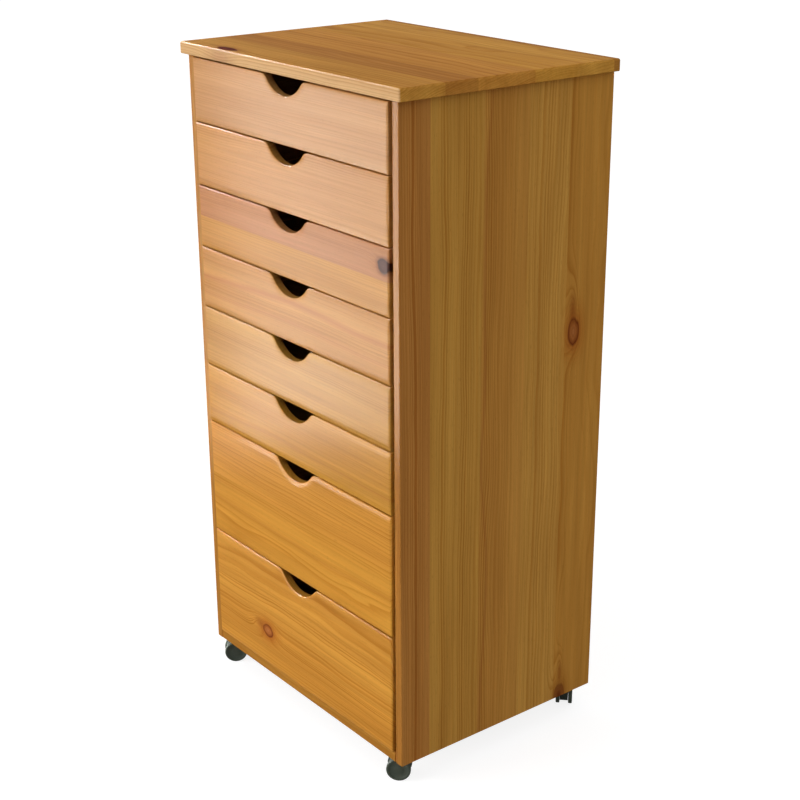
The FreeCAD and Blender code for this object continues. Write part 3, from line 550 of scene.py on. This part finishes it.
def select_parts(piece, kind, wanted):
    """In edit mode, selects just the faces, edges or corners for which the test holds."""
    work = bmesh.from_edit_mesh(piece.data)
    bpy.ops.mesh.select_mode(type=kind)
    bpy.ops.mesh.select_all(action="DESELECT")
    parts = {"FACE": work.faces, "EDGE": work.edges, "VERT": work.verts}[kind]
    found = [part for part in parts if wanted(part)]
    if not found:
        raise RuntimeError(f"The test holds nowhere on {piece.name}")
    for part in found:
        part.select_set(True)
    if kind == "VERT":
        work.select_flush_mode()
    bmesh.update_edit_mesh(piece.data)


def end_edit():
    """Turns all faces of the edited piece outwards and leaves edit mode."""
    bpy.ops.mesh.select_all(action="SELECT")
    bpy.ops.mesh.normals_make_consistent(inside=False)
    bpy.ops.object.mode_set(mode="OBJECT")


def shade_edges(piece, flat_first):
    """Shades rounded edges smooth, and where asked keeps the large faces flat right up to them."""
    bpy.ops.object.shade_smooth_by_angle(angle=SMOOTH_BELOW)
    if flat_first:
        even = piece.modifiers.new("even_shading", "WEIGHTED_NORMAL")
        even.keep_sharp = True
        bpy.ops.object.modifier_apply(modifier=even.name)


def sanded_panel(context, side_name, side):
    """Gives a side panel's front edges their hand-sanded roundings, wider on the inner edge."""
    looks = context.scene.drawer_cart
    node_name = f"{side_name}_side_panel"
    panel = merged_copy(context, node_name, f"{side_name}_sanded_panel")
    low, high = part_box(node_name)
    inner = high.x if side < 0 else low.x
    outer = low.x if side < 0 else high.x
    drawn = DRAWN_PANEL_ROUNDING
    for edge, radius in ((inner, looks.panel_inner_rounding), (outer, looks.panel_outer_rounding)):
        select_parts(panel, "VERT", lambda corner: abs(corner.co.x - edge) < drawn + SAME_LEVEL
                     and corner.co.y < low.y + drawn + SAME_LEVEL)
        times = radius / drawn
        bpy.ops.transform.resize(value=(times, times, 1), center_override=(edge, low.y, 0))
    end_edit()
    shade_edges(panel, flat_first=True)
    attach(panel, "cabinet")
    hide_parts(node_name)
    return panel


class DRAWERCART_OT_boards(bpy.types.Operator):
    """Rounds the side panels' front edges and finishes all boards of the cabinet in glued-up pine"""
    bl_idname = "drawercart.boards"
    bl_label = "Finish cabinet boards"

    def execute(self, context):
        # The top's tones are darker than the panels': partly the wood's own, partly a painted shade for the
        # dimmer light on the top. Its end grain is lighter than its face, which takes that painted shade
        # back off the ends, and its long edges are paler and bluer, a painted sheen.
        top = pine(
            "lacquered_pine_top", "X", "Y", (-116.5, -63.1, 33.1, 107.6, 175.3),
            ("#C08A40", "#AE7636", "#BE843C", "#C18A3C", "#C59042", "#AC7738"), 3.0,
            knots=((-150.0, -175.5, 22.0, 8.5, DARK_KNOT),),
            end_tone=(1.28, 1.3, 1.25, 1.0), painted_edge_light=(1.25, 1.6, 3.95, 1.0), contrast=0.9, gleam=0.0003)
        finish_with(cad_object("top_board"), top)
        # The right panel's long edges are darkened below the face's tone: a painted shade.
        right = pine(
            "lacquered_pine_right_panel", "Z", "Y", (-131.0, -42.0, 36.0, 111.0),
            ("#C08342", "#CE9848", "#CC9246", "#D39C4C", "#CC9142"), 11.0, contrast=0.95,
            knots=((629.2, 128.0, 21.0, 10.8, RED_KNOT), (664.0, 125.0, 26.0, 6.5, KNOT_TAIL),
                   (44.0, 124.3, 18.0, 10.5, SHADOWED_KNOT), (84.0, 124.0, 20.0, 4.0, KNOT_TAIL)),
            streaks=((-33.0, 4.0, 0.35, "#9A5426"), (-12.0, 26.0, 0.2, "#A86A2C")),
            painted_edge_light=(0.80, 0.79, 0.68, 1.0))
        finish_with(sanded_panel(context, "right", 1), right)
        # The left panel's long edges are darkened below the face's tone: a painted shade.
        left = pine(
            "lacquered_pine_left_panel", "Z", "Y", (-120.0, -42.0, 48.0, 122.0),
            ("#C98E48", "#C58A42", "#CE9648", "#C98F44", "#C48A44"), 17.0,
            knots=((720.0, -82.0, 9.0, 9.0, RED_KNOT), (318.0, 84.0, 8.0, 9.0, SHADOWED_KNOT)),
            painted_edge_light=(0.80, 0.79, 0.68, 1.0))
        finish_with(sanded_panel(context, "left", -1), left)
        # The bottom's long edges, the front one showing as the rail, are darkened: a painted shade.
        bottom = pine(
            "lacquered_pine_bottom", "X", "Y", (-110.0, -28.0, 60.0, 128.0),
            ("#C58A3E", "#C98F44", "#C48A42", "#CE9448", "#C68C44"), 23.0,
            painted_edge_light=(0.74, 0.73, 0.66, 1.0))
        finish_with(cad_object("bottom_board"), bottom)
        return {"FINISHED"}


def rolled_edge(depth, fall_reach, fall):
    """Gives the steps inwards and outwards of a hand-sanded edge: a tight arc, then a slow fall to it."""
    last_turn = math.atan(2 * fall / fall_reach)
    radius = (depth - fall) / math.cos(last_turn)
    path = []
    for number in range(ROLL_STEPS + 1):
        turn = (math.pi / 2 - last_turn) * number / ROLL_STEPS
        path.append((radius * (1 - math.cos(turn)), radius * math.sin(turn)))
    arc_in, arc_out = path[-1]
    for number in range(1, ROLL_STEPS + 1):
        left = 1 - number / ROLL_STEPS
        path.append((arc_in + fall_reach * (1 - left), arc_out + fall * (1 - left ** 2)))
    return [(after[0] - before[0], after[1] - before[1]) for before, after in zip(path, path[1:])]


def sanded_front(context, drawer):
    """Rolls over the face's edges on a copy of a CAD front, and says how low that front stands."""
    looks = context.scene.drawer_cart
    front = merged_copy(context, f"drawer_{drawer}_front", "sanded_front")
    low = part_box(f"drawer_{drawer}_front")[0]
    depth = DRAWN_FRONT_ROUNDING
    deepest = low.y + depth + SAME_LEVEL
    select_parts(front, "FACE", lambda face: all(corner.co.y < deepest for corner in face.verts))
    bpy.ops.mesh.dissolve_faces()
    steps = rolled_edge(depth, looks.front_fall_reach, looks.front_fall)
    for inwards, outwards in steps:
        bpy.ops.mesh.inset(thickness=inwards, depth=outwards)
    # The ends are rolled over in one even curve instead.
    inset = rise = 0.0
    for inwards, outwards in steps:
        inset += inwards
        rise += outwards
        level = low.y + depth - rise
        wanted = looks.front_end_curve * (1 - math.sqrt(max(0.0, 1 - (rise / depth) ** 2)))
        for side in (-1, 1):
            select_parts(front, "VERT", lambda corner: side * corner.co.x > PAST_THE_NOTCH
                         and abs(corner.co.y - level) < SAME_LEVEL)
            bpy.ops.transform.translate(value=(side * (inset - wanted), 0, 0))
    end_edit()
    shade_edges(front, flat_first=True)
    return front, low.z


class DRAWERCART_OT_fronts(bpy.types.Operator):
    """Models the hand-sanded face of a shallow and a deep front, and finishes all eight in pine"""
    bl_idname = "drawercart.fronts"
    bl_label = "Model drawer fronts"

    def execute(self, context):
        # Each front's stave joints, tones, knots, streaks and gleam. The upper fronts' tones are paler and
        # bluer than the deep fronts': partly the wood's own, partly a painted sheen of the softbox that the
        # upper drawers mirror.
        fronts = {
            "1": ((), ("#C08C56",), (), (), 0.0025),
            "2": ((), ("#C08848",), (), (), 0.0025),
            "3": ((754.0,), ("#C48C46", "#B87E50"), ((218.2, 773.8, 12.5, 9.5, ROUND_KNOT),), (), 0.0018),
            "4": ((), ("#C28A48",), (),
                  ((668.0, 7.0, 0.45, "#A85C34"), (640.0, 5.0, 0.3, "#AC6636")), 0.0020),
            "5": ((), ("#BE8A40",), (), (), 0.0024),
            "6": ((), ("#C48C3A",), (), ((450.0, 4.0, 0.3, "#A0602C"),), 0.0025),
            "7": ((342.0,), ("#D0933C", "#CE903C"), (), ((300.0, 4.0, 0.3, "#A86428"),), 0.0025),
            "8": ((136.0,), ("#CC8E3A", "#D0933E"),
                  ((-87.0, 118.0, 14.5, 11.0, RED_KNOT), (-108.0, 123.0, 15.0, 8.0, KNOT_TAIL)), (), 0.0065),
        }
        shallow, deep = sanded_front(context, "1"), sanded_front(context, "7")
        for drawer, (edges, tones, knots, streaks, gleam) in fronts.items():
            is_deep = drawer in DEEP_DRAWERS
            # The fronts' ends, and the cut face of the notch, are darker than end grain alone: partly a
            # painted shade.
            material = pine(
                f"lacquered_pine_front_{drawer}", "X", "Z", edges, tones, 40.0 + int(drawer), knots, streaks,
                ring=3.6 if is_deep else 4.2, contrast=0.95 if is_deep else 0.6,
                end_tone=(0.70, 0.70, 0.62, 1.0), notched=True, gleam=gleam)
            model, model_low = deep if is_deep else shallow
            front = bpy.data.objects.new(f"drawer_{drawer}_sanded_front", model.data.copy())
            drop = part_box(f"drawer_{drawer}_front")[0].z - model_low
            front.data.transform(Matrix.Translation((0, 0, drop)))
            context.collection.objects.link(front)
            finish_with(front, material)
            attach(front, f"drawer_{drawer}")
            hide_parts(f"drawer_{drawer}_front")
        for model, _ in (shallow, deep):
            bpy.data.objects.remove(model)
        return {"FINISHED"}


class DRAWERCART_OT_boxes(bpy.types.Operator):
    """Finishes the drawer boxes, the back, the runners and the dowels"""
    bl_idname = "drawercart.boxes"
    bl_label = "Finish drawer boxes and back"

    def execute(self, context):
        looks = context.scene.drawer_cart
        joints = (150.0, 334.0)
        sides = pine("sanded_pine_drawer_sides", "Y", "Z", joints, ("#D6A868", "#D2A262", "#D8AC6E"), 61.0)
        backs = pine("sanded_pine_drawer_backs", "X", "Z", joints, ("#D2A464", "#D6A868", "#D0A060"), 67.0)
        for drawer in DRAWERS:
            bottom = f"drawer_{drawer}_bottom"
            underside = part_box(bottom)[0].z * MILLIMETRES
            finish_with(cad_object(f"drawer_{drawer}_sides"), sides)
            finish_with(cad_object(f"drawer_{drawer}_back"), backs)
            finish_with(cad_object(bottom), plywood(
                f"sanded_birch_plywood_{drawer}", "X", "Z", underside, 4.0, 3, looks.drawer_plywood,
                float(drawer)))
        inner_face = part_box("back_panel")[0].y * MILLIMETRES
        finish_with(cad_object("back_panel"), plywood(
            "sanded_birch_plywood_back", "Z", "Y", inner_face, 5.0, 5, looks.back_plywood, 21.0))
        finish_with(cad_object("drawer_runners"), beech("waxed_beech_runners", "Y", looks.runner_beech, 0.5))
        finish_with(cad_object("joint_dowels"), beech("raw_beech_dowels", "Z", looks.dowel_beech, 0.7))
        return {"FINISHED"}


def step_face(wheel, side, inset, push):
    """Insets the flat middle of one side of the wheel by inset and moves what is left along X by push."""
    select_parts(wheel, "FACE", lambda face: side * face.normal.x > 0.99 and len(face.verts) > 8)
    bpy.ops.mesh.inset(thickness=inset)
    if push:
        bpy.ops.mesh.extrude_region_move(TRANSFORM_OT_translate={"value": (push, 0, 0)})


def round_rims(wheel, rims, width, segments):
    """Rounds rims of the wheel, each given by its place along the axle and its radius."""
    def lies_on(edge, along, radius):
        return all(
            abs(end.co.x - along) < SAME_RIM and abs(math.hypot(end.co.y, end.co.z) - radius) < SAME_RIM
            for end in edge.verts)

    select_parts(wheel, "EDGE", lambda edge: any(lies_on(edge, *rim) for rim in rims))
    bpy.ops.mesh.bevel(offset=width, segments=segments, affect="EDGES")


class DRAWERCART_OT_wheels(bpy.types.Operator):
    """Models one caster wheel, closed outside and bored inside, and sets copies of it at all casters"""
    bl_idname = "drawercart.wheels"
    bl_label = "Model caster wheels"

    def execute(self, context):
        looks = context.scene.drawer_cart
        nylon = moulded_plastic("moulded_nylon_wheels", looks.wheel_plastic)
        bpy.ops.object.select_all(action="DESELECT")
        bpy.ops.mesh.primitive_cylinder_add(
            vertices=96, radius=WHEEL_RADIUS, depth=WHEEL_WIDTH, location=(0, 0, 0),
            rotation=(0, math.pi / 2, 0))
        wheel = context.object
        bpy.ops.object.transform_apply(location=True, rotation=True, scale=True)
        bpy.ops.object.mode_set(mode="EDIT")
        # Outside: a rim, the shallow dish, and a raised hub cap. Inside: the axle's bore.
        step_face(wheel, 1, WHEEL_RADIUS - DISH_RADIUS, -DISH_DEPTH)
        step_face(wheel, 1, DISH_RADIUS - CAP_RADIUS, 0.0)
        for inset, push in CAP_STEPS:
            step_face(wheel, 1, inset, push)
        step_face(wheel, -1, WHEEL_RADIUS - BORE_RADIUS, BORE_DEPTH)
        outer, inner = WHEEL_WIDTH / 2, -WHEEL_WIDTH / 2
        round_rims(wheel, ((outer, WHEEL_RADIUS), (inner, WHEEL_RADIUS)), TREAD_ROUNDING, 4)
        round_rims(
            wheel, ((outer, DISH_RADIUS), (outer - DISH_DEPTH, DISH_RADIUS), (inner, BORE_RADIUS)),
            RIM_ROUNDING, 2)
        end_edit()
        shade_edges(wheel, flat_first=False)
        finish_with(wheel, nylon)

        spins = {joint["child"]: joint for joint in frame["joints"]}
        for corner in CORNERS:
            for hand, side in (("left", -1), ("right", 1)):
                body = f"{corner}_caster_{hand}_wheel"
                centre = Vector(spins[body]["pos_m"])
                outward = side * Vector(spins[body]["axis"])
                turn = Matrix.Rotation(math.atan2(outward.y, outward.x), 4, "Z")
                placed = bpy.data.objects.new(f"{corner}_{hand}_wheel_moulding", wheel.data.copy())
                placed.data.transform(Matrix.Translation(centre + outward * WHEEL_ASIDE) @ turn)
                context.collection.objects.link(placed)
                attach(placed, body)
                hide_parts(body)
        bpy.data.objects.remove(wheel)
        return {"FINISHED"}


class DRAWERCART_OT_hoods(bpy.types.Operator):
    """Gives each caster hood its moulded edges, from the CAD hood's own shape"""
    bl_idname = "drawercart.hoods"
    bl_label = "Model caster hoods"

    def execute(self, context):
        looks = context.scene.drawer_cart
        nylon = moulded_plastic("moulded_nylon_hoods", looks.hood_plastic)
        for corner in CORNERS:
            hood = merged_copy(context, f"{corner}_caster_hood", f"{corner}_hood_moulding")
            end_edit()
            soften = hood.modifiers.new("moulded_edges", "BEVEL")
            soften.width = looks.hood_rounding
            soften.segments = 3
            soften.limit_method = "ANGLE"
            soften.angle_limit = math.radians(50)
            bpy.ops.object.modifier_apply(modifier=soften.name)
            shade_edges(hood, flat_first=False)
            finish_with(hood, nylon)
            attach(hood, f"{corner}_caster")
            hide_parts(f"{corner}_caster_hood")
        finish_with(cad_object("caster_sockets"), nylon)
        return {"FINISHED"}


class DRAWERCART_OT_caster_steel(bpy.types.Operator):
    """Finishes the casters' stems and axles in plated steel"""
    bl_idname = "drawercart.caster_steel"
    bl_label = "Finish stems and axles"

    def execute(self, context):
        steel = plated_steel("zinc_plated_steel")
        for corner in CORNERS:
            finish_with(cad_object(f"{corner}_caster_stem"), steel)
            finish_with(cad_object(f"{corner}_caster_axle"), steel)
        return {"FINISHED"}


def seen_white(tree):
    """Gives 1 for rays that show the background itself, from the camera, a reflection or a clear thing."""
    rays = node(tree, "LightPath").outputs
    shown = node(tree, "Math", {0: rays["Is Camera Ray"], 1: rays["Is Glossy Ray"]}, operation="MAXIMUM")
    return node(tree, "Math", {0: shown, 1: rays["Is Transmission Ray"]}, operation="MAXIMUM")


def softbox(name, place, aim, width, height, watts, only_gloss=False):
    """Adds a rectangular soft light at a place that shines at a point, for reflections only where asked."""
    lamp = bpy.data.lights.new(name, "AREA")
    lamp.shape = "RECTANGLE"
    lamp.size = width
    lamp.size_y = height
    lamp.energy = watts
    holder = bpy.data.objects.new(name, lamp)
    holder.location = place
    holder.rotation_euler = (Vector(aim) - Vector(place)).to_track_quat("-Z", "Y").to_euler()
    holder.visible_diffuse = not only_gloss
    bpy.context.collection.objects.link(holder)


class DRAWERCART_OT_studio(bpy.types.Operator):
    """Sets the pale floor, the soft lights and the camera"""
    bl_idname = "drawercart.studio"
    bl_label = "Set the studio"

    def execute(self, context):
        scene = context.scene
        looks = scene.drawer_cart
        bpy.ops.object.select_all(action="DESELECT")
        bpy.ops.mesh.primitive_plane_add(size=60, location=(0, 0, 0))
        floor = context.object
        floor.name = "studio_floor"
        # Painted studio floor: matt white, so the eye sees only the cart's faint shadow on it. Where it is
        # seen, its glow and the light on its paint add up to white.
        paint = new_material("matt_white_floor")
        tree = paint.node_tree
        glow = node(tree, "Math", {0: seen_white(tree), 1: 0.84}, operation="MULTIPLY")
        shader = node(tree, "BsdfPrincipled", {
            "Base Color": grey(0.30), "Roughness": 1.0, "Specular IOR Level": 0.0,
            "Emission Color": grey(1.0), "Emission Strength": glow,
        })
        node(tree, "OutputMaterial", {0: shader})
        finish_with(floor, paint)

        world = bpy.data.worlds.new("studio_sky")
        world.use_nodes = True
        tree = world.node_tree
        tree.nodes.clear()
        level = node(tree, "MapRange", {0: seen_white(tree), 1: 0.0, 2: 1.0, 3: looks.sky, 4: 1.0})
        sky = node(tree, "Background", {0: grey(1.0), 1: level})
        node(tree, "OutputWorld", {0: sky})
        scene.world = world

        softbox("key_softbox", place=(-3.6, -6.9, 3.2), aim=(0.0, -0.18, 0.5), width=4.8, height=3.5,
                watts=looks.key_watts)
        softbox("sheen_softbox", place=(-0.435, -1.335, 0.525), aim=(0.355, -0.565, 0.635), width=1.7,
                height=1.0, watts=looks.sheen_watts, only_gloss=True)
        softbox("rim_softbox", place=(-1.6, -0.35, 1.95), aim=(0.0, -0.18, 0.55), width=1.5,
                height=1.2, watts=looks.rim_watts, only_gloss=True)

        lens = bpy.data.cameras.new("photo_camera")
        lens.lens = looks.lens
        lens.sensor_width = 36.0
        lens.shift_x, lens.shift_y = looks.camera_shift
        camera = bpy.data.objects.new("photo_camera", lens)
        turn, tilt, roll = looks.view_azimuth, looks.view_elevation, looks.view_roll
        right = Vector((math.cos(turn), math.sin(turn), 0))
        back = Vector((math.sin(turn) * math.cos(tilt), -math.cos(turn) * math.cos(tilt), math.sin(tilt)))
        up = back.cross(right)
        rolled_right = right * math.cos(roll) + up * math.sin(roll)
        rolled_up = up * math.cos(roll) - right * math.sin(roll)
        pose = Matrix((rolled_right, rolled_up, back)).transposed().to_4x4()
        pose.translation = Vector(looks.camera_place)
        camera.matrix_world = pose
        context.collection.objects.link(camera)
        scene.camera = camera
        scene.view_settings.view_transform = "Standard"
        return {"FINISHED"}


class DRAWERCART_PT_sidebar(bpy.types.Panel):
    """Lists the steps that finish the cart"""
    bl_label = "Drawer cart"
    bl_idname = "DRAWERCART_PT_sidebar"
    bl_space_type = "VIEW_3D"
    bl_region_type = "UI"
    bl_category = "Drawer cart"

    def draw(self, context):
        looks = context.scene.drawer_cart
        for step in STEPS:
            self.layout.operator(step.bl_idname)
        for name in CartLooks.__annotations__:
            self.layout.prop(looks, name)


STEPS = (
    DRAWERCART_OT_boards,
    DRAWERCART_OT_fronts,
    DRAWERCART_OT_boxes,
    DRAWERCART_OT_wheels,
    DRAWERCART_OT_hoods,
    DRAWERCART_OT_caster_steel,
    DRAWERCART_OT_studio,
)
CLASSES = (CartLooks, *STEPS, DRAWERCART_PT_sidebar)


def register():
    for kind in CLASSES:
        bpy.utils.register_class(kind)
    bpy.types.Scene.drawer_cart = bpy.props.PointerProperty(type=CartLooks)


def unregister():
    del bpy.types.Scene.drawer_cart
    for kind in reversed(CLASSES):
        bpy.utils.unregister_class(kind)


def main():
    """Finishes the cart step by step."""
    register()
    bpy.ops.drawercart.boards()
    bpy.ops.drawercart.fronts()
    bpy.ops.drawercart.boxes()
    bpy.ops.drawercart.wheels()
    bpy.ops.drawercart.hoods()
    bpy.ops.drawercart.caster_steel()
    bpy.ops.drawercart.studio()


if __name__ == "__main__":
    main()
